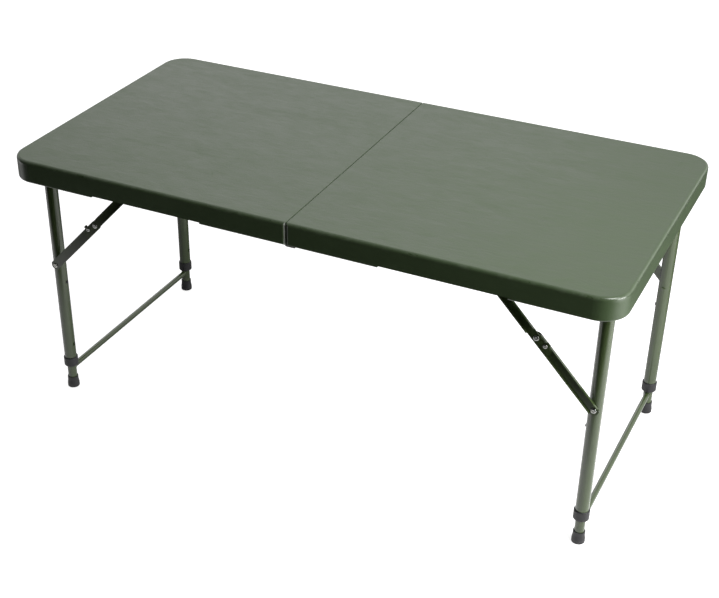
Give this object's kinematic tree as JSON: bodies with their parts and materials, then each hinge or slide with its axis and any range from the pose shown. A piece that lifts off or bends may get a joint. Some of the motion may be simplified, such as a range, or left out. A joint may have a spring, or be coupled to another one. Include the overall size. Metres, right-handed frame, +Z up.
{
  "type": "folding camping table",
  "caption": "Folding camping table with a moulded top in halves, tubular leg frames that fold under it, telescopic lower legs and locking folding braces.",
  "frame": {"origin": "on the floor under the middle of the top, at the lower height setting", "axes": "+X along the length, +Y across the width away from the camera, +Z up"},
  "size_m": [1.2, 0.61, 0.555],
  "materials": {
    "green_plastic": "satin",
    "green_paint": "satin",
    "dark_plastic": "matt",
    "zinc_steel": "bright zinc",
    "spring_steel": "satin"
  },
  "bodies": {
    "left_half": {"left_top": "green_plastic", "left_saddles": "zinc_steel", "left_saddle_screws": "zinc_steel", "left_bracket_screws": "zinc_steel", "left_bracket_pins": "zinc_steel", "left_hinge_screws": "zinc_steel", "left_front_bracket": "zinc_steel", "left_back_bracket": "zinc_steel", "left_front_hinge_leaf": "zinc_steel", "left_back_hinge_leaf": "zinc_steel", "hinge_pins": "zinc_steel"},
    "left_legs": {"left_leg_frame": "green_paint", "left_front_collar": "dark_plastic", "left_back_collar": "dark_plastic", "left_leg_rivets": "zinc_steel"},
    "left_lower_legs": {"left_front_lower_leg": "green_paint", "left_back_lower_leg": "green_paint", "left_crossbar": "green_paint", "left_front_foot": "dark_plastic", "left_back_foot": "dark_plastic", "left_guide_bushes": "dark_plastic", "left_snap_springs": "spring_steel"},
    "left_upper_links": {"left_front_upper_link": "green_paint", "left_back_upper_link": "green_paint", "left_elbow_rivets": "zinc_steel", "left_stop_rivets": "zinc_steel"},
    "left_lower_links": {"left_front_lower_link": "green_paint", "left_back_lower_link": "green_paint"},
    "right_half": {"right_top": "green_plastic", "right_saddles": "zinc_steel", "right_saddle_screws": "zinc_steel", "right_bracket_screws": "zinc_steel", "right_bracket_pins": "zinc_steel", "right_hinge_screws": "zinc_steel", "right_front_bracket": "zinc_steel", "right_back_bracket": "zinc_steel", "right_front_hinge_leaf": "zinc_steel", "right_back_hinge_leaf": "zinc_steel"},
    "right_legs": {"right_leg_frame": "green_paint", "right_front_collar": "dark_plastic", "right_back_collar": "dark_plastic", "right_leg_rivets": "zinc_steel"},
    "right_lower_legs": {"right_front_lower_leg": "green_paint", "right_back_lower_leg": "green_paint", "right_crossbar": "green_paint", "right_front_foot": "dark_plastic", "right_back_foot": "dark_plastic", "right_guide_bushes": "dark_plastic", "right_snap_springs": "spring_steel"},
    "right_upper_links": {"right_front_upper_link": "green_paint", "right_back_upper_link": "green_paint", "right_elbow_rivets": "zinc_steel", "right_stop_rivets": "zinc_steel"},
    "right_lower_links": {"right_front_lower_link": "green_paint", "right_back_lower_link": "green_paint"}
  },
  "joints": [
    {"name": "top_fold", "type": "hinge", "parent": "left_half", "child": "right_half", "pos_m": [0, 0, 0.511], "axis": [0, 1, 0], "range_deg": [0, 90]},
    {"name": "left_leg_fold", "type": "hinge", "parent": "left_half", "child": "left_legs", "pos_m": [-0.56, 0, 0.5265], "axis": [0, -1, 0], "range_deg": [0, 90]},
    {"name": "left_leg_slide", "type": "slide", "parent": "left_legs", "child": "left_lower_legs", "axis": [0, 0, 1], "range_m": [-0.15, 0], "deforming": ["left_snap_springs"]},
    {"name": "left_upper_link_turn", "type": "hinge", "parent": "left_half", "child": "left_upper_links", "pos_m": [-0.346, 0, 0.5265], "axis": [0, -1, 0], "range_deg": [-46.64, 0]},
    {"name": "left_lower_link_turn", "type": "hinge", "parent": "left_legs", "child": "left_lower_links", "pos_m": [-0.56, 0, 0.3], "axis": [0, -1, 0], "range_deg": [0, 43.38]},
    {"name": "right_leg_fold", "type": "hinge", "parent": "right_half", "child": "right_legs", "pos_m": [0.56, 0, 0.5265], "axis": [0, 1, 0], "range_deg": [0, 90]},
    {"name": "right_leg_slide", "type": "slide", "parent": "right_legs", "child": "right_lower_legs", "axis": [0, 0, 1], "range_m": [-0.15, 0], "deforming": ["right_snap_springs"]},
    {"name": "right_upper_link_turn", "type": "hinge", "parent": "right_half", "child": "right_upper_links", "pos_m": [0.346, 0, 0.5265], "axis": [0, 1, 0], "range_deg": [-46.64, 0]},
    {"name": "right_lower_link_turn", "type": "hinge", "parent": "right_legs", "child": "right_lower_links", "pos_m": [0.56, 0, 0.3], "axis": [0, 1, 0], "range_deg": [0, 43.38]}
  ],
  "couplings": [
    {"joint": "left_upper_link_turn", "follows": "left_leg_fold", "ratio": -0.51806},
    {"joint": "left_lower_link_turn", "follows": "left_leg_fold", "ratio": 0.48194},
    {"joint": "right_upper_link_turn", "follows": "right_leg_fold", "ratio": -0.51806},
    {"joint": "right_lower_link_turn", "follows": "right_leg_fold", "ratio": 0.48194}
  ]
}
